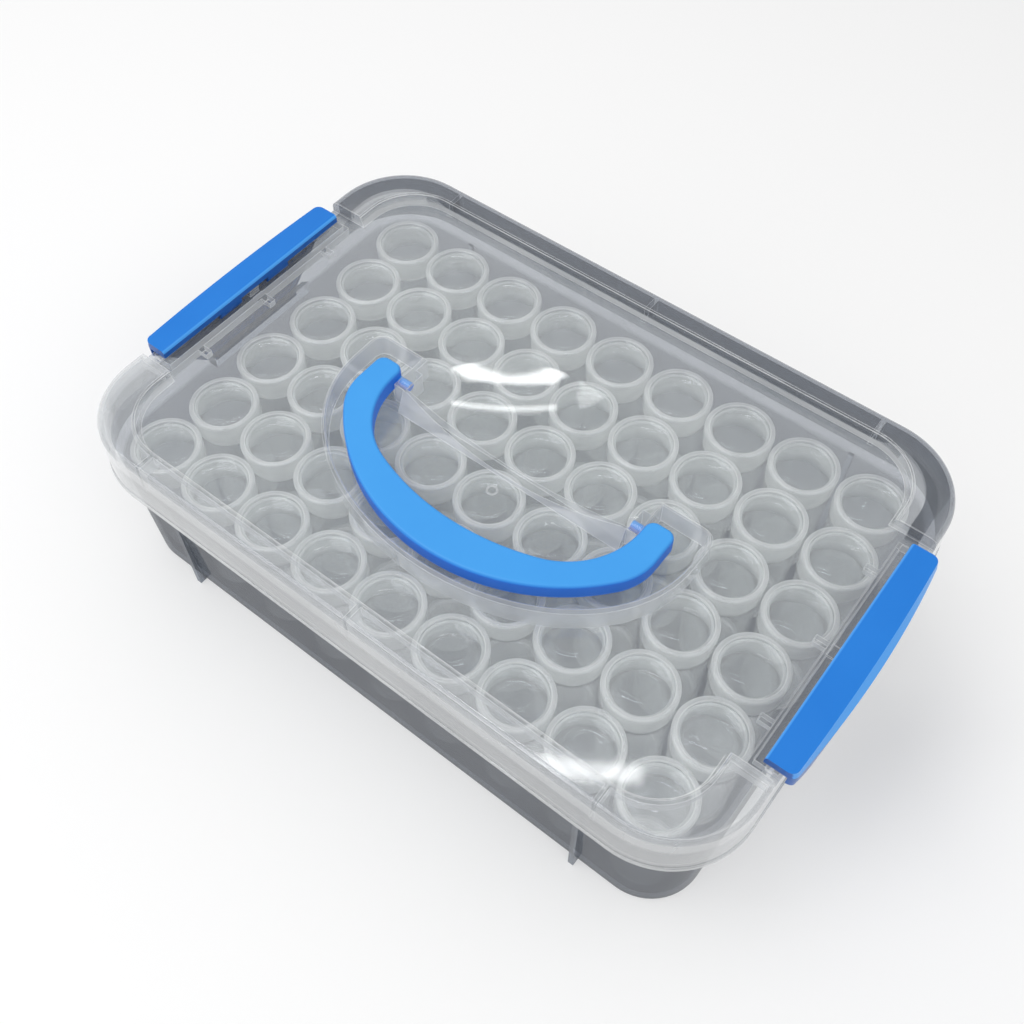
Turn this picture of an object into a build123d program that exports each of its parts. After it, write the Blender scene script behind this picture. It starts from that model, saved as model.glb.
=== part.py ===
from build123d import *
from math import asin, atan2, cos, degrees, pi, sin, sqrt
import os

# Bead storage box: a see-through tray of screw-cap jars under a see-through lid,
# with a folding carrying handle sunk into the lid and a swing latch at each end.
# Millimetres. X runs along the box, Y towards its back and Z up. The origin is the
# centre of the footprint, on the surface that the box stands on.

# Jars and their screw caps
columns = 9                  # jars along X
rows = 6                     # jars along Y
pitch = 30.0                 # spacing of the jars both ways
jar_radius = 13.5            # outside of a jar's body
jar_height = 56.7            # floor of the jar to its mouth
jar_wall = 1.2
jar_foot_round = 2.5         # rounding at the foot of a jar
neck_radius = 12.3           # outside of the neck, under the thread
neck_height = 10.4           # plain neck above the shoulder
thread_depth = 0.6           # how far the thread stands out of the neck
thread_turns = 2             # beads seen one above another on the neck
thread_rise = 3.4            # from one bead to the next
thread_width = 1.3
cap_radius = 14.55
cap_height = 11.0
cap_top = 1.2                # thickness of the cap's flat disc
cap_wall = 1.2
cap_bevel = 0.9
cap_dish_radius = 12.3       # flat clear window in the cap's top
cap_dish_depth = 0.35
cap_seat_gap = 0.05          # cap's disc over the jar's mouth
row_shifts = (-1.2, 1.3, -1.2, 1.3, 1.3, -1.2)   # how far each row has slid, front row first
grid_shift_y = -0.5          # the jars stand a touch towards the front
jar_foot_gap = 0.3           # jar over the tray's floor
loose_cap_row = 2            # the jar whose cap is a part of its own
loose_cap_column = 8

# Base tray
base_wall = 1.8
base_floor = 1.8
base_room_x = 4.7            # jar body to the tray's end wall, at the floor
base_room_y = 2.3            # jar body to the tray's long wall, at the floor
base_corner = 22.0
base_flare = 2.2             # how far each wall leans out by the rim
base_edge_round = 1.5        # outer edge round the foot of the tray
headroom = 12.0              # cap tops to the tray's rim
fin_x = 100.0                # upright fins on the long walls
fin_width = 2.4
fin_depth = 3.0
fin_top_gap = 2.5            # fin's top below the lid's skirt
rail_end_room = 4.0          # catch rail beyond each end of the latch's hook
rail_height = 3.0
rail_ramp = 4.5              # slope of the rail's top

# Lid
lid_reach_x = 6.3            # lid's side beyond the tray's rim, at the ring's top
lid_reach_y = 4.2
lid_corner = 35.0
lid_flare = 0.9              # how far the skirt leans out by its bottom edge
lid_wall = 1.8
lid_bead = 0.35              # bead along the skirt's bottom edge
lid_bead_height = 1.6
panel_rise = 4.0             # centre panel's top over the tray's rim
panel_thickness = 1.6
ring_rise = 5.5              # raised ring over the centre panel
ring_width_x = 17.5
ring_width_y = 11.0
ring_inner_corner = 22.5
ring_draft = 1.5             # lean of the ring's inner wall
ring_outer_round = 3.0
ring_edge_bevel = 0.6        # broken edge round the ring's inside
skirt_drop = 24.0            # ring's top to the skirt's bottom edge
gusset_xs = (-106.5, 0.0, 106.5)
gusset_thickness = 1.8
gusset_reach = 12.6          # from the lid's outer side to the gusset's tip
gusset_gap = 0.6             # gusset over the tray's rim
gusset_leg = 6.6             # leg that runs down inside the skirt
gusset_side_gap = 0.4        # leg beside the tray's rim

# Handle
handle_apex = 57.3           # pivot line to the grip's outer edge, seen from above
handle_half = 72.0           # half of its width over the arms
grip_width = 16.05           # grip, front to back
arm_width = 12.0
outer_arc_spare = 13.5       # radius of the grip's outer edge, over the handle's half width
outer_corner_arc = 24.0
inner_arc_spare = 48.0       # radius of its inner edge, over half the room between the arms
inner_corner_arc = 34.5
handle_thickness = 8.1
handle_edge_round = 1.3
arm_tail = 4.0               # arm's end behind the lid's centre line
handle_proud = 2.9           # handle's top over the lid's centre panel
pivot_y = 0.7
pivot_sink = 2.8             # pivot below the centre panel's top
pin_radius = 2.0
pin_length = 5.0
pin_play = 0.08              # radial play of the handle's pins in their bosses
pin_end_gap = 0.4

# Handle's pocket in the lid
pocket_room_x = 9.6          # handle's side to the pocket's side
pocket_room_y = 3.6          # grip's outer edge to the pocket's front
pocket_centre_y = -2.4
pocket_back = 13.5
pocket_corner = 4.5
pocket_depth = 10.3
pocket_wall = 1.6
pocket_edge_bevel = 0.6      # broken edge round the pocket's top
arm_gap = 0.6                # arm's inner side to the boss beside it
boss_length = 5.0
boss_back = 8.0
boss_front = -3.5
back_wall_lean = 4.5         # pocket's back wall leans forward by this much at its floor
dish_radius = 54.0           # finger dish behind the handle, at the panel
dish_depth = 9.0
dish_y = -10.0
gate_mark_y = -15.0          # moulding mark on the pocket's floor
gate_mark_radius = 2.3
gate_mark_width = 0.5
gate_mark_height = 0.3

# Latches and the lid's recesses for them
latch_half = 51.6            # half of a latch's length
latch_drop = 0.5             # latch's top below the ring's top
latch_wall = 2.0
latch_pivot_in = 4.2         # latch's pivot inside the lid's side
latch_pivot_drop = 5.4       # latch's pivot below its top
latch_lip_in = 3.1           # latch's inner edge inside its pivot
latch_lip_height = 3.8
latch_lip_wall = 1.2
latch_lip_round = 1.5
latch_top_out = 9.2          # flat top's outer edge beyond the pivot
latch_top_bow = 1.3
latch_side_out = 11.6        # widest line beyond the pivot, at the foot of the bevel
latch_side_bow = 3.2
latch_bevel = 3.2            # height of the bevel
latch_foot_out = 9.9         # outer face at the latch's foot
latch_foot_bow = 2.2
latch_reach_down = 32.2      # latch's top to its foot
latch_skirt_gap = 0.4        # latch's arm clear of the lid's skirt
latch_cheek_drop = 8.2       # latch's top to where its ends start to draw in, at 45 degrees
latch_corner = 3.0
hook_height = 2.0
hook_reach = 3.1             # latch's hook under the catch rail
hook_end_room = 2.4          # arm's foot beyond each end of the hook
hook_gap = 0.3               # hook clear of the catch rail
hinge_bar_radius = 1.4
hinge_play = 0.1
clip_wall = 1.3
clip_from = 8.0              # each clip's place along the latch
clip_length = 12.0
clip_mouth = 2.2             # opening that snaps over the hinge bar
recess_end_gap = 5.4         # latch's end to the end of its recess
moat_in = 6.0                # hinge trough beyond the pivot, towards the box's middle
moat_out = 3.1
moat_drop = 3.3              # trough's floor below the pivot
moat_wall = 1.6
moat_end_gap = 0.5
pillar_half = 2.6            # pillar in the trough that carries the hinge bar
pillar_radius = 2.2
pillar_foot_half = 1.6       # half of the pillar's foot, across the trough
trough_rib_length = 2.8      # low rib across the trough, out from its inner wall
trough_rib_drop = 2.8        # rib's top below the centre panel's top
tab_ys = (-37.0, 0.0, 37.0)  # stiffening tabs under the panel beside the trough
tab_length = 5.7
tab_thickness = 3.0
tab_height = 3.6
rim_notch_gap = 0.4          # tray's rim under the trough
rim_notch_room = 2.6

# Heights that follow from these
jar_foot_z = base_floor + jar_foot_gap
mouth_z = jar_foot_z + jar_height
cap_top_z = mouth_z + cap_seat_gap + cap_top
rim_z = cap_top_z + headroom
panel_z = rim_z + panel_rise
ring_z = panel_z + ring_rise
skirt_z = ring_z - skirt_drop

# Half sizes that follow: tray at its foot, tray at its rim, lid at its top
foot_x = (columns - 1) / 2 * pitch + jar_radius + base_room_x + base_wall
foot_y = (rows - 1) / 2 * pitch + jar_radius + base_room_y + base_wall
rim_x = foot_x + base_flare
rim_y = foot_y + base_flare
lid_x = rim_x + lid_reach_x
lid_y = rim_y + lid_reach_y

# Latch places that follow, for the latch on the right
latch_top_z = ring_z - latch_drop
latch_pivot_x = lid_x - latch_pivot_in
latch_pivot_z = latch_top_z - latch_pivot_drop
latch_foot_z = latch_top_z - latch_reach_down
latch_arm_x = lid_x + lid_flare + lid_bead + latch_skirt_gap
latch_cheek_z = latch_top_z - latch_cheek_drop
hook_tip_x = latch_arm_x - hook_reach
hook_half = latch_half - (latch_cheek_z - latch_foot_z) - hook_end_room
recess_half = latch_half + recess_end_gap
moat_half = latch_half + moat_end_gap
moat_z = latch_pivot_z - moat_drop

# Handle places that follow
outer_arc = handle_half + outer_arc_spare
inner_arc = handle_half - arm_width + inner_arc_spare
pivot_z = panel_z - pivot_sink
handle_top_z = panel_z + handle_proud
pocket_z = panel_z - pocket_depth
boss_x = handle_half - arm_width - arm_gap


def rounded(half_x, half_y, corner, z):
    """A rounded rectangle at height z."""
    return Pos(0, 0, z) * RectangleRounded(2 * half_x, 2 * half_y, corner)


def drafted(half_x, half_y, corner, low, high, lean):
    """A block with rounded corners whose sides lean out by this much from low to high."""
    taper = -degrees(atan2(lean, high - low))
    return extrude(rounded(half_x, half_y, corner, low), high - low, taper=taper)


def block(x0, x1, y0, y1, z0, z1):
    """A plain block between two corners."""
    size = Box(x1 - x0, y1 - y0, z1 - z0)
    return Pos((x0 + x1) / 2, (y0 + y1) / 2, (z0 + z1) / 2) * size


def rod_x(x0, x1, y, z, radius):
    """A round rod along X."""
    return Pos((x0 + x1) / 2, y, z) * Rot(0, 90, 0) * Cylinder(radius, x1 - x0)


def rod_y(x, z, y0, y1, radius):
    """A round rod along Y."""
    return Pos(x, (y0 + y1) / 2, z) * Rot(90, 0, 0) * Cylinder(radius, y1 - y0)


def prism_x(points_yz, x0, x1):
    """A prism along X over points in the YZ plane."""
    outline = Plane.YZ * Polygon(*points_yz, align=None)
    return Pos(x0, 0, 0) * extrude(outline, amount=x1 - x0, dir=(1, 0, 0))


def turned(points):
    """A solid turned about Z from a closed outline of radius and height."""
    outline = make_face(Plane.XZ * Polyline(*points, close=True))
    return revolve(outline, Axis.Z)


def jar():
    """One jar, with its foot on z = 0."""
    inner = jar_radius - jar_wall
    neck_inner = neck_radius - jar_wall
    shoulder = jar_height - neck_height
    slope = jar_radius - neck_radius
    edge = jar_foot_round
    body = turned([
        (0, 0), (jar_radius - edge, 0), (jar_radius, edge),
        (jar_radius, shoulder - slope), (neck_radius, shoulder),
        (neck_radius, jar_height), (neck_inner, jar_height),
        (neck_inner, shoulder), (inner, shoulder - slope),
        (inner, edge), (inner - edge + jar_wall, jar_wall), (0, jar_wall),
    ])
    for turn in range(thread_turns):
        middle = jar_height - neck_height / 2 + (turn - (thread_turns - 1) / 2) * thread_rise
        body += turned([
            (neck_radius - thread_depth, middle - thread_width),
            (neck_radius, middle - thread_width),
            (neck_radius + thread_depth, middle),
            (neck_radius, middle + thread_width / 2),
            (neck_radius - thread_depth, middle + thread_width / 2),
        ])
    return body


def cap():
    """One screw cap, with its top on z = 0."""
    inner = cap_radius - cap_wall
    return turned([
        (0, -cap_dish_depth), (cap_dish_radius, -cap_dish_depth),
        (cap_dish_radius + cap_dish_depth, 0), (cap_radius - cap_bevel, 0),
        (cap_radius, -cap_bevel), (cap_radius, -cap_height),
        (inner, -cap_height), (inner, -cap_top), (0, -cap_top),
    ])


def base():
    """The tray that the jars stand in."""
    outer = drafted(foot_x, foot_y, base_corner, 0, rim_z, base_flare)
    outer = fillet(outer.faces().sort_by(Axis.Z)[0].edges(), base_edge_round)
    inner = drafted(foot_x - base_wall, foot_y - base_wall, base_corner - base_wall,
                    base_floor, rim_z, base_flare)
    tray = outer - inner
    fin_top = skirt_z - fin_top_gap
    for side in (-1, 1):
        for x in (-fin_x, fin_x):
            root = foot_y - base_wall / 2
            tip = foot_y + fin_depth
            ends = sorted((side * root, side * tip))
            tray += block(x - fin_width / 2, x + fin_width / 2, *ends, 0, fin_top)
    for side in (-1, 1):
        tray += catch_rail(side)
        tray -= rim_notch(side)
    return tray


def catch_rail(side):
    """The rail that a latch's hook goes under: a flat underside and a sloped top."""
    out = hook_tip_x - hook_gap
    low = latch_foot_z + hook_height + hook_gap
    wall = foot_x
    profile = [
        (side * wall, low), (side * out, low), (side * out, low + rail_height),
        (side * wall, low + rail_height + rail_ramp),
    ]
    face = make_face(Plane.XZ * Polyline(*profile, close=True))
    rail = extrude(face, amount=hook_half + rail_end_room, both=True)
    return rail


def rim_notch(side):
    """The part of the tray's end wall that makes room for the lid's hinge trough."""
    low = moat_z - moat_wall - rim_notch_gap
    half = moat_half + moat_wall + rim_notch_room
    ends = sorted((side * (foot_x - 2 * base_wall), side * (rim_x + base_wall)))
    return block(*ends, -half, half, low, rim_z + headroom)


def lid():
    """The lid: skirt, raised ring, centre panel, pocket, finger dish and hinge troughs."""
    inner_x = lid_x - ring_width_x
    inner_y = lid_y - ring_width_y
    outer = drafted(lid_x + lid_flare, lid_y + lid_flare, lid_corner, skirt_z, ring_z, -lid_flare)
    outer = fillet(outer.faces().sort_by(Axis.Z)[-1].edges(), ring_outer_round)
    shell = outer + lid_edge_bead() - lid_cavity(inner_x, inner_y)
    shell -= drafted(inner_x - ring_draft / 2, inner_y - ring_draft / 2, ring_inner_corner,
                     panel_z, ring_z, ring_draft)
    half_x, half_y = inner_x + ring_draft / 2, inner_y + ring_draft / 2
    shell -= drafted(half_x, half_y, ring_inner_corner + ring_draft, ring_z - ring_edge_bevel,
                     ring_z, ring_edge_bevel)
    for side in (-1, 1):
        shell += moat_pan(side)
        shell -= latch_recess(side, inner_x)
        shell += hinge_bar(side)
        shell += panel_tabs(side)
    for x in gusset_xs:
        for side in (-1, 1):
            shell += gusset(x, side)
    return handle_pocket(shell)


def lid_edge_bead():
    """The bead along the skirt's bottom edge."""
    grown = lid_flare + lid_bead
    return drafted(lid_x + grown, lid_y + grown, lid_corner, skirt_z, skirt_z + lid_bead_height, 0)


def lid_cavity(inner_x, inner_y):
    """The hollow under the lid: deep under the ring, shallow under the panel."""
    wall = lid_wall
    hollow = drafted(lid_x + lid_flare - wall, lid_y + lid_flare - wall, lid_corner - wall,
                     skirt_z, ring_z - wall, -lid_flare)
    under = panel_z - panel_thickness
    kept = drafted(inner_x + wall, inner_y + wall, ring_inner_corner + wall, under, ring_z, 0)
    half = recess_half + wall
    for side in (-1, 1):
        ends = sorted((side * (inner_x - wall), side * (lid_x + wall)))
        kept += block(*ends, -half, half, under, ring_z)
    return hollow - kept


def moat_pan(side):
    """The walls of the trough that a latch's hinge sits in."""
    inner = latch_pivot_x - moat_in - moat_wall
    ends = sorted((side * inner, side * (lid_x - lid_wall / 2)))
    half = moat_half + moat_wall
    return block(*ends, -half, half, moat_z - moat_wall, panel_z - panel_thickness / 2)


def latch_recess(side, inner_x):
    """Cuts the ring open for a latch, and the trough for its hinge below that."""
    ends = sorted((side * (inner_x - ring_draft), side * (lid_x + 2 * lid_wall)))
    opening = block(*ends, -recess_half, recess_half, panel_z, ring_z + lid_wall)
    ends = sorted((side * (latch_pivot_x - moat_in), side * (latch_pivot_x + moat_out)))
    return opening + block(*ends, -moat_half, moat_half, moat_z, panel_z + lid_wall)


def hinge_bar(side):
    """The bar that a latch turns on, its middle pillar and the low rib across the trough."""
    half = moat_half + moat_wall / 2
    x = side * latch_pivot_x
    bar = rod_y(x, latch_pivot_z, -half, half, hinge_bar_radius)
    pillar = rod_y(x, latch_pivot_z, -pillar_half, pillar_half, pillar_radius)
    foot = block(x - pillar_foot_half, x + pillar_foot_half, -pillar_half, pillar_half,
                 moat_z - moat_wall / 2, latch_pivot_z)
    trough_side = latch_pivot_x - moat_in
    ends = sorted((side * (trough_side - moat_wall / 2), side * (trough_side + trough_rib_length)))
    rib = block(*ends, -pillar_half, pillar_half, moat_z - moat_wall / 2, panel_z - trough_rib_drop)
    return bar + pillar + foot + rib


def panel_tabs(side):
    """Stiffening tabs under the panel, beside the hinge trough."""
    outer = latch_pivot_x - moat_in - moat_wall / 2
    ends = sorted((side * (outer - tab_length), side * outer))
    top = panel_z - panel_thickness / 2
    tabs = [block(*ends, y - tab_thickness / 2, y + tab_thickness / 2, top - tab_height, top)
            for y in tab_ys]
    return tabs


def gusset(x, side):
    """A gusset between the lid's panel, ring and skirt, with a leg down the skirt."""
    tip = lid_y - gusset_reach
    wall = lid_y - lid_wall / 2
    leg = rim_y + gusset_side_gap
    low = rim_z + gusset_gap
    under = panel_z - panel_thickness / 2
    points = [
        (tip, under), (tip + under - low, low), (leg, low), (leg, low - gusset_leg),
        (wall, low - gusset_leg), (wall, ring_z - lid_wall / 2),
        (lid_y - ring_width_y + lid_wall / 2, ring_z - lid_wall / 2),
        (lid_y - ring_width_y + lid_wall / 2, under),
    ]
    flipped = [(side * y, z) for y, z in points]
    return prism_x(flipped, x - gusset_thickness / 2, x + gusset_thickness / 2)


def pocket_outline(grow):
    """The handle pocket seen from above, grown all round: a half ellipse and two back corners."""
    half_x = handle_half + pocket_room_x + grow
    half_y = handle_apex + pocket_room_y + pocket_centre_y + grow
    back = pocket_back + grow
    corner = pocket_corner + grow
    front = Pos(0, pocket_centre_y) * Ellipse(half_x, half_y)
    depth = back - pocket_centre_y
    rear = Pos(0, pocket_centre_y) * RectangleRounded(2 * half_x, 2 * depth, corner)
    below = Pos(0, pocket_centre_y - half_y) * Rectangle(2 * half_x, 2 * half_y)
    above = Pos(0, pocket_centre_y + depth / 2) * Rectangle(2 * half_x, depth)
    outline = (front & below) + (rear & above)
    notch = boss_x - grow
    notch_front = boss_front + grow
    tall = 2 * back
    outline -= Pos(0, notch_front + tall / 2) * Rectangle(2 * notch, tall)
    return outline


def handle_pocket(shell):
    """Sinks the handle's pocket and the finger dish into the lid, with the handle's bosses."""
    floor = pocket_z - pocket_wall
    over = panel_z + ring_rise
    shell += extrude(Pos(0, 0, floor) * pocket_outline(pocket_wall), panel_z - panel_thickness / 2 - floor)
    sphere_radius = (dish_radius ** 2 + dish_depth ** 2) / (2 * dish_depth)
    centre_z = panel_z - dish_depth + sphere_radius
    behind = block(-dish_radius, dish_radius, boss_front - back_wall_lean - pocket_wall,
                   dish_radius, pocket_z - pocket_wall, panel_z - panel_thickness / 2)
    dish_skin = Pos(0, dish_y, centre_z) * Sphere(sphere_radius + pocket_wall)
    shell += dish_skin & behind
    for side in (-1, 1):
        ends = sorted((side * (boss_x - boss_length), side * boss_x))
        shell += block(*ends, boss_front, boss_back, floor, panel_z - panel_thickness / 2)
    pocket = extrude(Pos(0, 0, pocket_z) * pocket_outline(0), over - pocket_z)
    wedge = prism_x([(boss_front - back_wall_lean, pocket_z), (boss_front, panel_z), (boss_front, pocket_z)],
                    boss_length - boss_x, boss_x - boss_length)
    shell -= pocket - wedge
    edge_z = panel_z - pocket_edge_bevel
    shell -= extrude(Pos(0, 0, edge_z) * pocket_outline(0), 2 * pocket_edge_bevel, taper=-45)
    dish_front = block(-dish_radius, dish_radius, boss_front - back_wall_lean, dish_radius, pocket_z, over)
    dish = Pos(0, dish_y, centre_z) * Sphere(sphere_radius)
    shell -= dish & dish_front
    bore = boss_x - pin_length - pin_end_gap
    for side in (-1, 1):
        ends = sorted((side * bore, side * (boss_x + arm_gap)))
        shell -= rod_x(*ends, pivot_y, pivot_z, pin_radius + pin_play)
    ring = Pos(0, gate_mark_y, pocket_z) * (
        Circle(gate_mark_radius) - Circle(gate_mark_radius - gate_mark_width))
    return shell + extrude(ring, gate_mark_height)


def tangent_corner(big_radius, big_y, small_radius, half_width):
    """Where an arc that closes a side at half_width meets the big arc centred on X = 0."""
    small_x = half_width - small_radius
    drop = sqrt((big_radius - small_radius) ** 2 - small_x ** 2)
    small_y = big_y - drop
    scale = big_radius / (big_radius - small_radius)
    touch = (small_x * scale, big_y + (small_y - big_y) * scale)
    return small_y, touch


def handle_edge(apex, big_radius, small_radius, half_width, tail):
    """One edge of the handle from tail to tail: side, corner arc, long arc, corner arc, side."""
    big_y = big_radius - apex
    small_y, touch = tangent_corner(big_radius, big_y, small_radius, half_width)
    small_x = half_width - small_radius
    bend = (asin(touch[0] / big_radius) + pi / 2) / 2
    left = ThreePointArc(
        (-half_width, small_y),
        (-small_x - small_radius * sin(bend), small_y - small_radius * cos(bend)),
        (-touch[0], touch[1]))
    long_arc = ThreePointArc((-touch[0], touch[1]), (0, -apex), touch)
    right = ThreePointArc(
        touch,
        (small_x + small_radius * sin(bend), small_y - small_radius * cos(bend)),
        (half_width, small_y))
    first = Line((-half_width, tail), (-half_width, small_y))
    last = Line((half_width, small_y), (half_width, tail))
    return [first, left, long_arc, right, last]


def handle():
    """The carrying handle, folded flat in its pocket."""
    outside = handle_edge(handle_apex, outer_arc, outer_corner_arc, handle_half, arm_tail)
    inside = handle_edge(handle_apex - grip_width, inner_arc, inner_corner_arc,
                         handle_half - arm_width, arm_tail)
    ends = [Line((side * handle_half, arm_tail), (side * (handle_half - arm_width), arm_tail))
            for side in (-1, 1)]
    outline = make_face(Wire(outside + ends + inside))
    low = handle_top_z - handle_thickness
    bar = extrude(Pos(0, 0, low) * outline, handle_thickness)
    tails = bar.edges().filter_by(Axis.Z).group_by(Axis.Y)[-1]
    bar = fillet(tails, arm_tail)
    rims = bar.faces().filter_by(Axis.Z).edges()
    bar = fillet(rims, handle_edge_round)
    for side in (-1, 1):
        root = handle_half - arm_width + handle_edge_round
        ends = sorted((side * (boss_x - pin_length), side * root))
        bar += rod_x(*ends, pivot_y, pivot_z, pin_radius)
    return bar


def latch_plan(inner, outer, bow, half, z):
    """A latch seen from above: three straight sides and a bowed outer edge."""
    lines = [
        Line((inner, -half), (inner, half)),
        Line((inner, half), (outer - bow, half)),
        ThreePointArc((outer - bow, half), (outer, 0), (outer - bow, -half)),
        Line((outer - bow, -half), (inner, -half)),
    ]
    return Pos(0, 0, z) * make_face(Wire(lines))


def latch_form(inset, foot, top):
    """The latch's outside, or its hollow when inset by the wall."""
    inner = latch_pivot_x - latch_lip_in + (latch_lip_wall if inset else 0)
    half = latch_half - inset
    side_z = latch_top_z - latch_bevel
    reach = latch_pivot_x - inset
    side = latch_plan(inner, reach + latch_side_out, latch_side_bow, half, side_z)
    low = latch_plan(inner, reach + latch_foot_out, latch_foot_bow, half, foot)
    high = latch_plan(inner, reach + latch_top_out, latch_top_bow, half, top)
    return loft([low, side], ruled=True) + loft([side, high], ruled=True)


def latch_cheeks(inset):
    """The corners that the arm's ends lose where they draw in towards the foot."""
    edge = latch_half + latch_wall - inset * sqrt(2)
    high = latch_cheek_z + latch_wall
    low = latch_foot_z - latch_wall
    wedges = []
    for side in (-1, 1):
        outline = [(side * edge, high), (side * edge, low), (side * (edge - high + low), low)]
        wedges.append(prism_x(outline, latch_pivot_x, latch_pivot_x + 2 * latch_side_out))
    return wedges


def latch():
    """The latch on the right-hand end, closed."""
    body = latch_form(0, latch_foot_z, latch_top_z)
    corners = body.edges().filter_by(lambda edge: edge.center().X > latch_pivot_x + latch_top_out / 2
                                     and abs(abs(edge.center().Y) - latch_half) < latch_wall / 2
                                     and abs(edge.bounding_box().size.Z) > latch_wall)
    body = fillet(corners, latch_corner)
    lip_edge = body.faces().sort_by(Axis.Z)[-1].edges().sort_by(Axis.X)[0]
    body = fillet(lip_edge, latch_lip_round)
    body -= latch_cheeks(0)
    hollow = latch_form(latch_wall, latch_foot_z + hook_height, latch_top_z - latch_wall)
    body -= hollow - latch_cheeks(latch_wall)
    lip_z = latch_top_z - latch_lip_height
    inside = latch_pivot_x - latch_lip_in - latch_wall
    body -= block(inside, latch_arm_x, -latch_half, latch_half,
                  latch_foot_z - latch_wall, lip_z)
    body += block(hook_tip_x, latch_arm_x + latch_wall / 2, -hook_half, hook_half,
                  latch_foot_z, latch_foot_z + hook_height)
    for side in (-1, 1):
        body = hinge_clip(body, side)
    return body


def hinge_clip(body, side):
    """Adds one clip that snaps over the lid's hinge bar."""
    ends = sorted((side * clip_from, side * (clip_from + clip_length)))
    outer = hinge_bar_radius + hinge_play + clip_wall
    clip = rod_y(latch_pivot_x, latch_pivot_z, *ends, outer)
    clip += block(latch_pivot_x - outer, latch_pivot_x + outer, *ends,
                  latch_pivot_z, latch_top_z - latch_wall / 2)
    clip -= rod_y(latch_pivot_x, latch_pivot_z, *ends, hinge_bar_radius + hinge_play)
    clip -= block(latch_pivot_x - clip_mouth / 2, latch_pivot_x + clip_mouth / 2, *ends,
                  latch_pivot_z - outer, latch_pivot_z)
    return body + clip


def write(shape, name):
    """Writes one sub-part."""
    export_step(shape, os.path.join("parts", name + ".step"))


def main():
    os.makedirs("parts", exist_ok=True)
    write(base(), "base")
    write(lid(), "lid")
    write(handle(), "handle")
    right = latch()
    write(right, "latch_right")
    write(right.mirror(Plane.YZ), "latch_left")
    one_jar = jar()
    one_cap = cap()
    for row in range(rows):
        for column in range(columns):
            x = (column - (columns - 1) / 2) * pitch + row_shifts[row % len(row_shifts)]
            y = (row - (rows - 1) / 2) * pitch + grid_shift_y
            here = Pos(x, y, jar_foot_z) * one_jar
            over = Pos(x, y, cap_top_z) * one_cap
            name = f"jar_r{row + 1}c{column + 1}"
            if row + 1 == loose_cap_row and column + 1 == loose_cap_column:
                write(here, name)
                write(over, name.replace("jar", "cap"))
            else:
                write(Compound(children=[here, over]), name)


main()
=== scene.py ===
import math

import bpy
from mathutils import Matrix, Vector


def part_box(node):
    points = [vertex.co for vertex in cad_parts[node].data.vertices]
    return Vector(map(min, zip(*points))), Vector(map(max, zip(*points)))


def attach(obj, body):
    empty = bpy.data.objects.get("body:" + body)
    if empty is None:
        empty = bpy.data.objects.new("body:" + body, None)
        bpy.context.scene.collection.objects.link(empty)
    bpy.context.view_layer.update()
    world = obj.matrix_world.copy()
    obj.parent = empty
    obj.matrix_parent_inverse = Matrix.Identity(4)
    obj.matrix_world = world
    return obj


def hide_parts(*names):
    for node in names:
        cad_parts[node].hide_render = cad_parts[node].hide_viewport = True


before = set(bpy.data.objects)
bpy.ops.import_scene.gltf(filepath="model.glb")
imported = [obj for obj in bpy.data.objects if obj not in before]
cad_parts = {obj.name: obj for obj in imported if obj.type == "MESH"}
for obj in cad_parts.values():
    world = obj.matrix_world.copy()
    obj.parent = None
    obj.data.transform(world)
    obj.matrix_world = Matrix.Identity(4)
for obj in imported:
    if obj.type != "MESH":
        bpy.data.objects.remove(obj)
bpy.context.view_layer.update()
print("frame loaded:", len(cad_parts), "nodes")

mm = 0.001


def linearColour(hexText, alpha=1.0):
    # sRGB hex to the linear values that shaders take
    channels = [int(hexText[i:i + 2], 16) / 255 for i in (1, 3, 5)]
    linear = [c / 12.92 if c <= 0.04045 else ((c + 0.055) / 1.055) ** 2.4 for c in channels]
    return (*linear, alpha)


def addNode(owner, kind, settings=None, links=None):
    # settings: attribute or input name to value; links: input name to an output socket
    node = owner.node_tree.nodes.new(kind)
    for name, value in (settings or {}).items():
        if isinstance(name, int) or name in node.inputs:
            node.inputs[name].default_value = value
        else:
            setattr(node, name, value)
    for name, socket in (links or {}).items():
        owner.node_tree.links.new(socket, node.inputs[name])
    return node


def newMaterial(name):
    material = bpy.data.materials.new(name)
    material.use_nodes = True
    material.node_tree.nodes.clear()
    return material


def finishMaterial(material, shader):
    addNode(material, "ShaderNodeOutputMaterial", links={"Surface": shader})
    return material


# millimetres: how softly a zone ends, and how far beyond its outline it still counts
maskSettings = {"edgeFade": 0.2, "outerRoom": 0.5, "outerFade": 0.4, "frontFade": 2.0}


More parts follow.
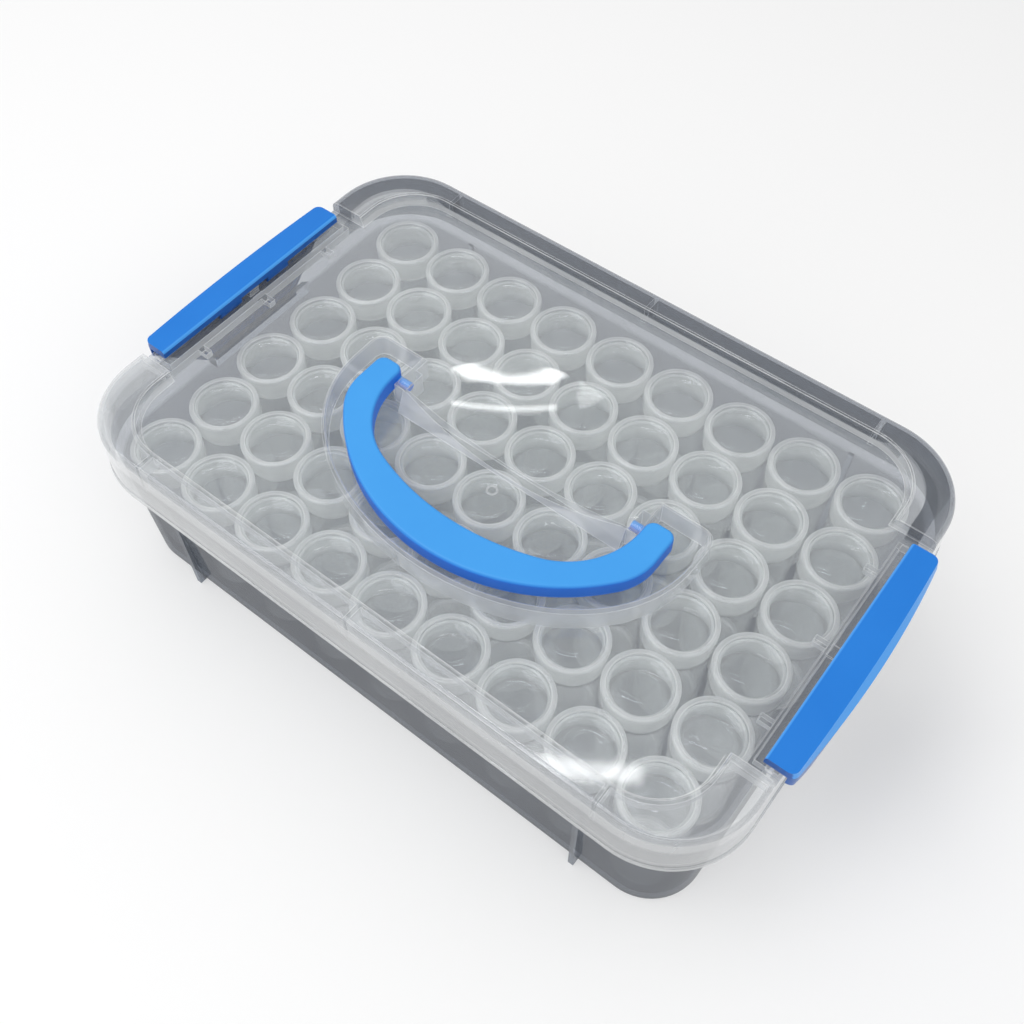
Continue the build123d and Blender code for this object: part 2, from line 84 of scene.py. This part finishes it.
def zoneMask(material, coords, zone):
    # 1 within a depth of a wall's rounded outline, between two heights and behind fromY, else 0
    inset = ((zone["halfX"] - zone["corner"]) * mm, (zone["halfY"] - zone["corner"]) * mm, 0)
    split = addNode(material, "ShaderNodeSeparateXYZ", links={"Vector": coords.outputs["Object"]})
    vector = coords.outputs["Object"]
    for settings in ({"operation": "ABSOLUTE"}, {"operation": "SUBTRACT", 1: inset},
                     {"operation": "MAXIMUM", 1: (0, 0, 0)}, {"operation": "MULTIPLY", 1: (1, 1, 0)}):
        vector = addNode(material, "ShaderNodeVectorMath", settings, {0: vector}).outputs["Vector"]
    reach = addNode(material, "ShaderNodeVectorMath", {"operation": "LENGTH"}, {0: vector})
    square = addNode(material, "ShaderNodeMath", {"operation": "MULTIPLY_ADD", 1: -zone["lean"]},
                     {0: split.outputs["Z"], 2: reach.outputs["Value"]})
    s = maskSettings
    edgeAt = (zone["corner"] - zone["depth"]) * mm
    outerAt = (zone["corner"] + s["outerRoom"]) * mm
    # each ramp: what it measures, where it is 0 and where it is 1
    ramps = [(square.outputs["Value"], edgeAt - s["edgeFade"] * mm, edgeAt),
             (square.outputs["Value"], outerAt + s["outerFade"] * mm, outerAt),
             (split.outputs["Z"], zone["low"] * mm, (zone["low"] + zone["fade"]) * mm),
             (split.outputs["Z"], zone["high"] * mm, (zone["high"] - zone["fade"]) * mm),
             (split.outputs["Y"], (zone["fromY"] - s["frontFade"]) * mm, zone["fromY"] * mm)]
    mask = None
    for value, start, end in ramps:
        ends = {"From Min": start, "From Max": end, "To Max": 1.0}
        ramp = addNode(material, "ShaderNodeMapRange", ends, {"Value": value})
        if mask:
            material.node_tree.links.new(mask, ramp.inputs["To Max"])
        mask = ramp.outputs["Result"]
    return mask


toObject = {"vector_type": "NORMAL", "convert_from": "WORLD", "convert_to": "OBJECT"}

# polypropylene's refractive index, and what a surface of it mirrors head-on
polypropylene = {"ior": 1.49, "mirrorHeadOn": 0.04}


def clearPlastic(name, look):
    # Injection-moulded clear polypropylene: a thin wall lets most light through,
    # scatters a little of it as a milky veil, and turns more solid where it is seen edge-on
    # and along its own edges, where the light that runs inside the wall comes out.
    material = newMaterial(name)
    link = material.node_tree.links.new
    coords = addNode(material, "ShaderNodeTexCoord")
    edge = addNode(material, "ShaderNodeLayerWeight", {"Blend": 0.5})
    steep = addNode(material, "ShaderNodeMath", {"operation": "POWER", 1: look["edgePower"]},
                    {0: edge.outputs["Facing"]})
    veil = addNode(material, "ShaderNodeMapRange", {"To Max": look["edgeVeil"]},
                   {"Value": steep.outputs["Value"]})
    through = addNode(material, "ShaderNodeBsdfTransparent", {"Color": linearColour(look["tint"])})
    surface = addNode(material, "ShaderNodeNewGeometry")
    upright = addNode(material, "ShaderNodeVectorTransform", toObject,
                      {"Vector": surface.outputs["True Normal"]})
    facing = addNode(material, "ShaderNodeSeparateXYZ", links={"Vector": upright.outputs["Vector"]})
    lying = addNode(material, "ShaderNodeMath", {"operation": "ABSOLUTE"}, {0: facing.outputs["Z"]})
    # faces steeper than about 50 degrees are walls
    walls = {"From Min": 0.8, "From Max": 0.5, "To Min": look["veil"], "To Max": look["wallVeil"]}
    headOn = addNode(material, "ShaderNodeMapRange", walls, {"Value": lying.outputs["Value"]})
    tint = None
    # a zone is either a change in the plastic or painted shade, as on the lid's back ring and the tray's
    # outer skin
    for zone in look.get("zones", []):
        mask = zoneMask(material, coords, zone)
        blend = addNode(material, "ShaderNodeMix", {"data_type": "RGBA", 6: linearColour(look["tint"]),
                                                    7: linearColour(zone["tint"])}, {0: mask})
        headOn = addNode(material, "ShaderNodeMapRange", {"To Max": zone["veil"]},
                         {"Value": mask, "To Min": headOn.outputs["Result"]})
        if tint:
            link(tint, blend.inputs[6])
        tint = blend.outputs[2]
        link(tint, through.inputs["Color"])
    link(headOn.outputs["Result"], veil.inputs["To Min"])
    milky = veil.outputs["Result"]
    if look.get("lineMm"):
        rounded = addNode(material, "ShaderNodeBevel", {"samples": 4, "Radius": look["lineMm"] * mm})
        turned = addNode(material, "ShaderNodeVectorMath", {"operation": "DOT_PRODUCT"},
                         {0: rounded.outputs["Normal"], 1: surface.outputs["True Normal"]})
        along = addNode(material, "ShaderNodeMath", {"operation": "ABSOLUTE"}, {0: turned.outputs["Value"]})
        turning = {"From Min": 0.995, "From Max": 0.9, "To Max": look["lineVeil"]}
        line = addNode(material, "ShaderNodeMapRange", turning, {"Value": along.outputs["Value"]})
        milky = addNode(material, "ShaderNodeMath", {"operation": "MAXIMUM"},
                        {0: milky, 1: line.outputs["Result"]}).outputs["Value"]
    flow = addNode(material, "ShaderNodeTexNoise", {"Scale": 1 / (look["cloudMm"] * mm), "Detail": 1.0},
                   {"Vector": coords.outputs["Object"]})
    # the milk lies unevenly, by 15 percent either way
    uneven = {"From Min": 0.3, "From Max": 0.7, "To Min": 0.85, "To Max": 1.15}
    cloud = addNode(material, "ShaderNodeMapRange", uneven, {"Value": flow.outputs["Fac"]})
    solid = addNode(material, "ShaderNodeMath", {"operation": "MULTIPLY", "use_clamp": True},
                    {0: milky, 1: cloud.outputs["Result"]})
    ripple = addNode(material, "ShaderNodeTexNoise", {"Scale": 1 / (look["rippleMm"] * mm), "Detail": 1.0},
                     {"Vector": coords.outputs["Object"]})
    bump = addNode(material, "ShaderNodeBump", {"Strength": look["bump"], "Distance": 0.1 * mm},
                   {"Height": ripple.outputs["Fac"]})
    body = addNode(material, "ShaderNodeBsdfPrincipled",
                   {"Base Color": linearColour(look["milk"]), "Roughness": look["roughness"],
                    "IOR": polypropylene["ior"]}, {"Normal": bump.outputs["Normal"]})
    shine = addNode(material, "ShaderNodeBsdfAnisotropic",
                    {"Color": (1, 1, 1, 1), "Roughness": look["roughness"]},
                    {"Normal": bump.outputs["Normal"]})
    wall = addNode(material, "ShaderNodeMixShader",
                   links={0: solid.outputs["Value"], 1: through.outputs["BSDF"], 2: body.outputs["BSDF"]})
    # a smooth surface mirrors a little head-on and everything at a grazing view, by the fifth power of
    # how far it turns away, the same from both of its sides; a scuffed one mirrors less at a grazing view
    grazing = addNode(material, "ShaderNodeMath", {"operation": "POWER", 1: 5.0},
                      {0: edge.outputs["Facing"]})
    ends = {"To Min": polypropylene["mirrorHeadOn"], "To Max": look.get("grazingMirror", 1.0)}
    mirror = addNode(material, "ShaderNodeMapRange", ends, {"Value": grazing.outputs["Value"]})
    glossed = addNode(material, "ShaderNodeMixShader",
                      links={0: mirror.outputs["Result"], 1: wall.outputs["Shader"],
                             2: shine.outputs["BSDF"]})
    # the veil passes lamplight on inwards instead of stopping it, so the wall casts only a faint shadow
    path = addNode(material, "ShaderNodeLightPath")
    passed = addNode(material, "ShaderNodeBsdfTransparent", {"Color": linearColour(look["shadow"])})
    lit = addNode(material, "ShaderNodeMixShader",
                  links={0: path.outputs["Is Shadow Ray"], 1: glossed.outputs["Shader"],
                         2: passed.outputs["BSDF"]})
    return finishMaterial(material, lit.outputs["Shader"])


# the height of a face's normal, from 1 where it lies flat to 0 where it stands, where the painted highlight
# on bevels and the painted shade on sides begin and end
paintedLightTilts = {"bevelFrom": 0.95, "bevelFull": 0.8, "sideFull": 0.1}


def bluePlastic(name, look):
    # Polypropylene coloured through in blue, moulded against a finely blasted tool: satin.
    # Painted light: its bevels get a paler blue as a painted highlight, and its upright sides a deeper blue
    # as painted shade.
    material = newMaterial(name)
    coords = addNode(material, "ShaderNodeTexCoord")
    surface = addNode(material, "ShaderNodeNewGeometry")
    upright = addNode(material, "ShaderNodeVectorTransform", toObject,
                      {"Vector": surface.outputs["Normal"]})
    facing = addNode(material, "ShaderNodeSeparateXYZ", links={"Vector": upright.outputs["Vector"]})
    # painted highlight: faces that tip away from flat get the paler bevel blue
    highlightTilts = {"From Min": paintedLightTilts["bevelFrom"], "From Max": paintedLightTilts["bevelFull"], "To Max": 1.0}
    bevel = addNode(material, "ShaderNodeMapRange", highlightTilts, {"Value": facing.outputs["Z"]})
    # painted shade: upright faces get the deeper side blue
    shadeTilts = {"From Min": look["sideFrom"], "From Max": paintedLightTilts["sideFull"], "To Max": 1.0}
    side = addNode(material, "ShaderNodeMapRange", shadeTilts, {"Value": facing.outputs["Z"]})
    grain = addNode(material, "ShaderNodeTexNoise", {"Scale": 1 / (look["grainMm"] * mm), "Detail": 2.0},
                    {"Vector": coords.outputs["Object"]})
    streak = addNode(material, "ShaderNodeTexNoise", {"Scale": 1 / (look["streakMm"] * mm), "Detail": 4.0},
                     {"Vector": coords.outputs["Object"]})
    blues = {"data_type": "RGBA", 6: linearColour(look["dark"]), 7: linearColour(look["light"])}
    colour = addNode(material, "ShaderNodeMix", blues, {0: streak.outputs["Fac"]})
    withPaintedHighlight = addNode(material, "ShaderNodeMix", {"data_type": "RGBA", 7: linearColour(look["bevel"])},
                    {0: bevel.outputs["Result"], 6: colour.outputs[2]})
    withPaintedShade = addNode(material, "ShaderNodeMix", {"data_type": "RGBA", 7: linearColour(look["side"])},
                     {0: side.outputs["Result"], 6: withPaintedHighlight.outputs[2]})
    wear = {"To Min": look["roughness"] - 0.05, "To Max": look["roughness"] + 0.07}
    rough = addNode(material, "ShaderNodeMapRange", wear, {"Value": streak.outputs["Fac"]})
    bump = addNode(material, "ShaderNodeBump", {"Strength": look["bump"], "Distance": 0.05 * mm},
                   {"Height": grain.outputs["Fac"]})
    body = addNode(material, "ShaderNodeBsdfPrincipled",
                   {"IOR": polypropylene["ior"], "Specular IOR Level": look["specular"]},
                   {"Base Color": withPaintedShade.outputs[2], "Roughness": rough.outputs["Result"],
                    "Normal": bump.outputs["Normal"]})
    return finishMaterial(material, body.outputs["BSDF"])


def dress(nodeName, material):
    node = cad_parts[nodeName]
    if not node.material_slots:
        node.data.materials.append(material)
    for slot in node.material_slots:
        slot.link = "OBJECT"
        slot.material = material


# In a clear look, tint is what passes straight through and milk the colour of the veil. The veil's share
# is veil on lying faces, wallVeil on walls, edgeVeil edge-on and lineVeil within lineMm of an edge. A zone
# has a tint and a veil of its own. An outline is the outer wall's, carried down to the ground by its lean.
lidOutline = {"halfX": 151.6, "halfY": 102.1, "corner": 37.2, "lean": -0.0375}
trayOutline = {"halfX": 140.0, "halfY": 92.6, "corner": 22.0, "lean": 0.0305}

# the lid: a clear panel, a little milk in the skirt and the ring, and painted shade on the back of the ring:
# a darker tint standing for the dark surroundings seen through it and mirrored in it
lidLook = {"tint": "#FAFBFC", "milk": "#F2F3F3", "veil": 0.06, "wallVeil": 0.36, "edgeVeil": 0.42,
           "edgePower": 2.5, "shadow": "#FBFBFB", "lineMm": 0.5, "lineVeil": 0.7, "roughness": 0.05,
           "cloudMm": 45.0, "rippleMm": 14.0, "bump": 0.04,
           "zones": [{**lidOutline, "depth": 3.5, "low": 0.0, "high": 73.2, "fade": 1.2, "fromY": -105.0,
                      "tint": "#D6D8DA", "veil": 0.22},
                     {**lidOutline, "depth": 17.5, "low": 78.0, "high": 84.0, "fade": 1.2, "fromY": -105.0,
                      "tint": "#FAFBFC", "veil": 0.12},
                     # painted shade: behind fromY the whole ring is tinted darker, for the dark surroundings
                     # seen through it and mirrored in it
                     {**lidOutline, "depth": 11.2, "low": 72.0, "high": 84.0, "fade": 1.2, "fromY": 57.0,
                      "tint": "#C8CBD0", "veil": 0.03}]}
# the tray: a smoky floor, whose dark tint is partly the plastic's smoke and partly painted shade for the
# box's shadow beneath it;
# walls milky inside; and painted shade on their outer skin up to the skirt's height, a darker tint for the
# ground seen through them
# the tint is smoke and painted shade together, darker than the smoke alone, standing for the shadow under
# the box
trayLook = {"tint": "#BCC1C8", "milk": "#B4B8BE", "veil": 0.03, "wallVeil": 0.25, "edgeVeil": 0.28,
            "edgePower": 2.5, "grazingMirror": 0.2, "shadow": "#FBFBFB", "lineMm": 0.5, "lineVeil": 0.35,
            "roughness": 0.1, "cloudMm": 45.0, "rippleMm": 14.0, "bump": 0.04,
            "zones": [{**trayOutline, "depth": 5.0, "low": 2.0, "high": 90.0, "fade": 1.0, "fromY": -100.0,
                       "tint": "#E8EAED", "veil": 0.2},
                      # painted shade: the outer skin below 58 mm is tinted darker, standing for the dark
                      # ground seen through the wall
                      {**trayOutline, "depth": 0.9, "low": -5.0, "high": 58.0, "fade": 3.0, "fromY": -100.0,
                       "tint": "#A6A9AE", "veil": 0.02}]}
# the handle and the latches are one blue plastic: the handle's lighter blue is painted light, the side blues
# are painted shade and the latches' bevel blue is a painted highlight; the handle is drawn a little duller,
# and the blasted grain of both, about 0.1 mm on the real ones, is drawn at 0.5 mm so that it shows
handleLook = {"dark": "#3C98E6", "light": "#46A4EE", "bevel": "#3C98E6", "side": "#2E7AE6",
              "sideFrom": 0.85, "roughness": 0.4, "specular": 0.3, "grainMm": 0.5, "streakMm": 30.0,
              "bump": 0.15}
latchLook = {"dark": "#1876D2", "light": "#2080DC", "bevel": "#4AA2F4", "side": "#185CB0",
             "sideFrom": 0.14, "roughness": 0.3, "specular": 0.35, "grainMm": 0.5, "streakMm": 30.0,
             "bump": 0.15}

dress("lid", clearPlastic("clearMouldedPolypropylene", lidLook))
dress("base", clearPlastic("smokyPolypropyleneWithPaintedShade", trayLook))
dress("handle", bluePlastic("handleBlueWithPaintedLight", handleLook))
latchPlastic = bluePlastic("latchBluePolypropylene", latchLook)
dress("latch_left", latchPlastic)
dress("latch_right", latchPlastic)
print("lid, tray, handle and latches dressed")


def turnedMesh(name, rows, columns, shape):
    # rows: closed list of profile points; shape gives each point for a row and an angle
    verts, faces = [], []
    for row in rows:
        for column in range(columns):
            angle = 2 * math.pi * column / columns
            radius, height = shape(row, angle)
            verts.append((radius * mm * math.cos(angle), radius * mm * math.sin(angle), height * mm))
    for r in range(len(rows) - 1):
        for c in range(columns):
            d = (c + 1) % columns
            faces.append((r * columns + c, r * columns + d, (r + 1) * columns + d, (r + 1) * columns + c))
    bottom, top = len(verts), len(verts) + 1
    verts.append((0, 0, rows[0][1] * mm))
    verts.append((0, 0, rows[-1][1] * mm))
    last = (len(rows) - 1) * columns
    for c in range(columns):
        d = (c + 1) % columns
        faces.append((bottom, d, c))
        faces.append((top, last + c, last + d))
    mesh = bpy.data.meshes.new(name)
    mesh.from_pydata(verts, [], faces)
    mesh.validate()
    for polygon in mesh.polygons:
        polygon.use_smooth = True
    mesh.update()
    return mesh


def arcPoints(centreR, centreZ, radius, startDeg, endDeg, steps):
    points = []
    for i in range(steps + 1):
        angle = math.radians(startDeg + (endDeg - startDeg) * i / steps)
        points.append((centreR + radius * math.cos(angle), centreZ + radius * math.sin(angle)))
    return points


def straight(start, end, steps):
    return [(start[0] + (end[0] - start[0]) * i / steps, start[1] + (end[1] - start[1]) * i / steps)
            for i in range(1, steps)]


# the share of a turn over which a thread runs out, and how blunt its crest is
threadShape = {"runOut": 0.08, "bluntness": 0.7}


def threadBump(height, angle, settings):
    # how far the helical thread stands out at this height and angle
    turns, runOut = settings["threadTurns"], threadShape["runOut"]
    total = 0.0
    for turn in range(-1, int(turns) + 2):
        along = turn + angle / (2 * math.pi)
        if along < 0 or along > turns:
            continue
        fade = min(1.0, along / runOut, (turns - along) / runOut)
        crest = height - settings["threadStart"] - along * settings["threadRise"]
        offset = crest / settings["threadWidth"]
        total = max(total, fade * max(0.0, 1 - abs(offset)) ** threadShape["bluntness"])
    return total * settings["threadDepth"]


def paint(mesh, materials, pick):
    # pick gives the material's number for a face's radius and height in millimetres
    for material in materials:
        mesh.materials.append(material)
    for polygon in mesh.polygons:
        centre = polygon.center
        polygon.material_index = pick(math.hypot(centre.x, centre.y) / mm, centre.z / mm)


# jars and caps are thin and a little frosted; the milky veil is densest in their thick edges
jarFinish = {"tint": "#FBFCFC", "shadow": "#FBFBFB", "roughness": 0.14, "cloudMm": 12.0, "rippleMm": 5.0,
             "bump": 0.03}
rimLook = {**jarFinish, "milk": "#F6F6F5", "veil": 0.42, "wallVeil": 0.42, "edgeVeil": 0.75,
           "edgePower": 1.5}
rimPlastic = clearPlastic("thickRimPolypropylene", rimLook)

jarSettings = {
    "columns": 64, "middle": 4.0,
    "radius": 13.5, "wall": 1.2, "footRound": 2.5, "footRing": 1.0, "footHollow": 0.25,
    "height": 56.7, "neckRadius": 12.3, "neckHeight": 10.4, "neckStep": 0.3,
    "wallEnd": 1.2, "shoulderDrop": 1.4, "shoulderTurn": (0.35, 0.6), "neckFoot": 0.1,
    "lipDrop": 0.4, "lipIn": 0.35,
    "insideRound": 1.6, "insideRise": 0.15, "insideTurn": (0.4, 1.0), "insideDrop": 2.0,
    "threadDepth": 0.6, "threadRise": 3.4, "threadWidth": 0.9, "threadStart": 48.6, "threadTurns": 2.2,
    "lipBand": 0.45, "footBand": 1.6, "shoulderBand": 1.0, "threadBand": 0.22,
    "bodyLook": {**jarFinish, "milk": "#F4F5F5", "veil": 0.08, "wallVeil": 0.08, "edgeVeil": 0.45,
                 "edgePower": 2.0},
    "neckLook": {**jarFinish, "milk": "#F8F8F7", "veil": 0.24, "wallVeil": 0.24, "edgeVeil": 0.7,
                 "edgePower": 1.5},
}


def makeJarMesh():
    s = jarSettings
    outer, inner = s["radius"], s["radius"] - s["wall"]
    neck, mouth = s["neckRadius"], s["neckRadius"] - s["wall"]
    shoulder = s["height"] - s["neckHeight"]
    lip = s["height"] - s["lipDrop"]
    insideTop = shoulder - s["insideDrop"]
    insideFoot = s["wall"] + s["insideRound"]
    # from the middle of the foot out, up the wall and the neck, over the lip and down inside
    rows = [(s["middle"], s["footHollow"])]
    rows += [(outer - s["footRound"] - s["footRing"], 0.0)]
    rows += arcPoints(outer - s["footRound"], s["footRound"], s["footRound"], -90, 0, 5)
    rows += straight((outer, s["footRound"]), (outer, shoulder - s["wallEnd"]), 4)
    rows += [(outer, shoulder - s["shoulderDrop"])]
    rows += [(outer - s["shoulderTurn"][0], shoulder - s["shoulderTurn"][1])]
    rows += [(neck + s["neckFoot"], shoulder)]
    rows += straight((neck, shoulder), (neck, lip), int(s["neckHeight"] / s["neckStep"]))
    rows += [(neck, lip), (neck - s["lipIn"], s["height"])]
    rows += [(mouth + s["lipIn"], s["height"]), (mouth, lip)]
    rows += [(mouth, shoulder), (inner - s["insideTurn"][0], shoulder - s["insideTurn"][1])]
    rows += [(inner, insideTop)]
    rows += straight((inner, insideTop), (inner, insideFoot), 3)
    rows += arcPoints(inner - s["insideRound"], insideFoot, s["insideRound"], 0, -90, 4)
    rows += [(s["middle"], s["wall"] + s["insideRise"])]

    def shape(row, angle):
        radius, height = row
        if radius == neck and height > shoulder:
            radius += threadBump(height, angle, s)
        return radius, height

    def pick(radius, height):
        # 2 for the lip, the foot's edge and the thread, 1 for the neck and the floor, 0 for the wall
        onLip = height > s["height"] - s["lipBand"]
        onFoot = height < s["footBand"] and radius > outer - s["footRound"]
        onThread = height > shoulder and radius > neck + s["threadBand"]
        if onLip or onFoot or onThread:
            return 2
        return int(height > shoulder - s["shoulderBand"] or height < s["footBand"])

    mesh = turnedMesh("beadJar", rows, s["columns"], shape)
    paint(mesh, [clearPlastic("jarBodyPolypropylene", s["bodyLook"]),
                 clearPlastic("jarNeckPolypropylene", s["neckLook"]), rimPlastic], pick)
    return mesh


capSettings = {
    "columns": 64, "middle": 4.0,
    "radius": 14.55, "height": 11.0, "wall": 1.2, "edgeRound": 0.9, "rimRound": 0.3,
    "windowRadius": 12.3, "windowDepth": 0.35, "windowStep": (0.45, 0.1), "stepDrop": 0.12,
    "discThickness": 1.2, "discRound": 0.8,
    "threadDepth": 0.5, "threadRise": 3.4, "threadWidth": 0.9, "threadStart": -9.4, "threadTurns": 2.0,
    "threadRows": 26, "stepBand": (0.5, 0.05), "threadBand": (0.2, 0.5), "rimBand": 0.32,
    "wallLook": {**jarFinish, "milk": "#F8F9F8", "veil": 0.28, "wallVeil": 0.28, "edgeVeil": 0.7,
                 "edgePower": 1.5},
    "windowLook": {**jarFinish, "tint": "#FCFDFD", "milk": "#F2F4F4", "veil": 0.02, "wallVeil": 0.02,
                   "edgeVeil": 0.4, "edgePower": 2.5, "roughness": 0.08, "rippleMm": 6.0, "bump": 0.04},
}


def makeCapMesh():
    # its top lies on z = 0
    s = capSettings
    outer, inner = s["radius"], s["radius"] - s["wall"]
    low, rim = -s["height"], s["rimRound"]
    window = s["windowRadius"]
    under = -s["discThickness"]
    # from the middle of the disc's underside out, down inside, round the rim, up and in to the window
    rows = [(s["middle"], under)]
    rows += [(inner - s["discRound"], under), (inner, under - s["discRound"])]
    rows += straight((inner, under - s["discRound"]), (inner, low + rim), s["threadRows"])
    rows += [(inner, low + rim), (inner + rim, low), (outer - rim, low), (outer, low + rim)]
    rows += straight((outer, low + rim), (outer, -s["edgeRound"]), 3)
    rows += arcPoints(outer - s["edgeRound"], -s["edgeRound"], s["edgeRound"], 0, 90, 5)
    rows += [(window + s["windowStep"][0], 0.0), (window + s["windowStep"][1], -s["stepDrop"])]
    rows += [(window, -s["windowDepth"])]
    rows += [(s["middle"], -s["windowDepth"])]

    def shape(row, angle):
        radius, height = row
        if radius == inner:
            radius -= threadBump(height, angle, s)
        return radius, height

    def pick(radius, height):
        # 2 for the step round the window, the thread and the rim, 1 for the window, 0 for the rest
        stepWide, stepDeep = s["stepBand"]
        threadOut, threadDown = s["threadBand"]
        onStep = height > -s["windowDepth"] - stepDeep and window < radius < window + stepWide
        onThread = height < under - threadDown and radius < inner - threadOut
        if onStep or onThread or height < low + s["rimBand"]:
            return 2
        return int(radius < window)

    mesh = turnedMesh("screwCap", rows, s["columns"], shape)
    paint(mesh, [clearPlastic("capWallPolypropylene", s["wallLook"]),
                 clearPlastic("capWindowPolypropylene", s["windowLook"]), rimPlastic], pick)
    return mesh


jarMesh = makeJarMesh()
capMesh = makeCapMesh()
print("jar and cap:", len(jarMesh.polygons), len(capMesh.polygons), "faces")


def placeTurned(name, mesh, x, y, z, turn, body, node):
    piece = bpy.data.objects.new(name, mesh)
    bpy.context.scene.collection.objects.link(piece)
    piece.matrix_world = Matrix.Translation((x, y, z)) @ Matrix.Rotation(turn, 4, "Z")
    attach(piece, body)
    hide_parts(node)
    return piece


# radians: each jar was dropped in at an angle of its own, and its cap was screwed on to another
jarTurns = {"step": 2.39996, "capShare": 1.7}

capNodes = [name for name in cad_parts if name.startswith("cap_")]
jarNodes = sorted(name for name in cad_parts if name.startswith("jar_"))
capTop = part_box(capNodes[0])[1][2]
for index, node in enumerate(jarNodes):
    low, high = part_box(node)
    x, y = (low[0] + high[0]) / 2, (low[1] + high[1]) / 2
    turn = index * jarTurns["step"]
    capNode = node.replace("jar", "cap")
    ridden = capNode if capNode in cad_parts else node
    placeTurned(node.replace("jar", "beadJar"), jarMesh, x, y, low[2], turn, node, node)
    capTurn = turn * jarTurns["capShare"]
    placeTurned(capNode.replace("cap", "screwCap"), capMesh, x, y, capTop, capTurn, ridden, ridden)
print("jars placed:", len(jarNodes))


floorSettings = {"half": 3.0, "below": 0.2, "colour": "#F9F9F9"}


def makeFloor(settings):
    # a sheet of white paper, just below the box's foot
    half = settings["half"]
    corners = [(-half, -half, 0), (half, -half, 0), (half, half, 0), (-half, half, 0)]
    mesh = bpy.data.meshes.new("floor")
    mesh.from_pydata(corners, [], [(0, 1, 2, 3)])
    floor = bpy.data.objects.new("floor", mesh)
    bpy.context.scene.collection.objects.link(floor)
    floor.location.z = -settings["below"] * mm
    material = newMaterial("whitePaperSweep")
    paper = addNode(material, "ShaderNodeBsdfDiffuse", {"Color": linearColour(settings["colour"])})
    mesh.materials.append(finishMaterial(material, paper.outputs["BSDF"]))


def makeWorld(settings):
    world = bpy.data.worlds.new("studio")
    bpy.context.scene.world = world
    world.use_nodes = True
    world.node_tree.nodes.clear()
    path = addNode(world, "ShaderNodeLightPath")
    soft = addNode(world, "ShaderNodeBackground",
                   {"Color": linearColour(settings["colour"]), "Strength": settings["strength"]})
    white = addNode(world, "ShaderNodeBackground", {"Color": (1, 1, 1, 1), "Strength": 1.0})
    seen = addNode(world, "ShaderNodeMixShader", links={0: path.outputs["Is Camera Ray"],
                                                        1: soft.outputs["Background"],
                                                        2: white.outputs["Background"]})
    addNode(world, "ShaderNodeOutputWorld", links={"Surface": seen.outputs["Shader"]})


def areaLight(name, settings):
    data = bpy.data.lights.new(name, "AREA")
    data.shape = "RECTANGLE"
    data.size, data.size_y = settings["size"]
    data.energy = settings["watts"]
    lamp = bpy.data.objects.new(name, data)
    bpy.context.scene.collection.objects.link(lamp)
    lamp.location = settings["place"]
    aim = (Vector(settings["aim"]) - Vector(settings["place"])).to_track_quat("-Z", "Y").to_matrix()
    spin = Matrix.Rotation(math.radians(settings.get("spin", 0)), 3, "Z")
    lamp.rotation_euler = (aim @ spin).to_euler()


# metres and watts; two soft boxes light the box, and the strips and the small lamp make the lid's highlights
lampSettings = {
    "keyLight": {"place": (-0.55, -0.6, 1.5), "aim": (0, 0, 0.05), "size": (1.3, 1.0), "watts": 11.5},
    "fillLight": {"place": (1.1, -0.3, 1.3), "aim": (0, 0, 0.05), "size": (1.0, 1.0), "watts": 4.0},
    "nearStrip": {"place": (-0.2, 0.165, 1.5), "aim": (-0.2, 0.165, 0), "size": (0.56, 0.05), "spin": 31.5,
                  "watts": 0.9},
    "farStrip": {"place": (-0.3, 0.32, 1.5), "aim": (-0.3, 0.32, 0), "size": (0.5, 0.03), "spin": 33.0,
                 "watts": 0.35},
    "cornerLamp": {"place": (-0.03, 0.48, 1.5), "aim": (-0.03, 0.48, 0), "size": (0.14, 0.24),
                   "watts": 0.03},
}

makeFloor(floorSettings)
makeWorld({"colour": "#FFFFFF", "strength": 0.6})
for lampName, lampLook in lampSettings.items():
    areaLight(lampName, lampLook)

# the photograph's camera, fitted to the grid of caps; its place is in millimetres
cameraSettings = {
    "lens": 40.06, "sensor": 36.0,
    "right": (0.78973755, 0.61344297, -0.00152053),
    "up": (-0.50785364, 0.65518969, 0.55929523),
    "back": (0.34409196, -0.44092424, 0.82896715),
    "place": (162.86, -211.1, 428.23),
}


def makeCamera(settings):
    data = bpy.data.cameras.new("photoCamera")
    data.lens = settings["lens"]
    data.sensor_width = data.sensor_height = settings["sensor"]
    data.sensor_fit = "HORIZONTAL"
    data.clip_start, data.clip_end = 0.01, 20
    camera = bpy.data.objects.new("photoCamera", data)
    bpy.context.scene.collection.objects.link(camera)
    axes = Matrix((settings["right"], settings["up"], settings["back"])).transposed().to_4x4()
    camera.matrix_world = Matrix.Translation(Vector(settings["place"]) * mm) @ axes
    bpy.context.scene.camera = camera


makeCamera(cameraSettings)
bpy.context.scene.view_settings.view_transform = "Standard"
# enough bounces to see through every wall of a jar in the box
cycles = bpy.context.scene.cycles
cycles.transparent_max_bounces = 64
cycles.max_bounces = 24
cycles.diffuse_bounces = 16
cycles.glossy_bounces = 8
print("stage ready")
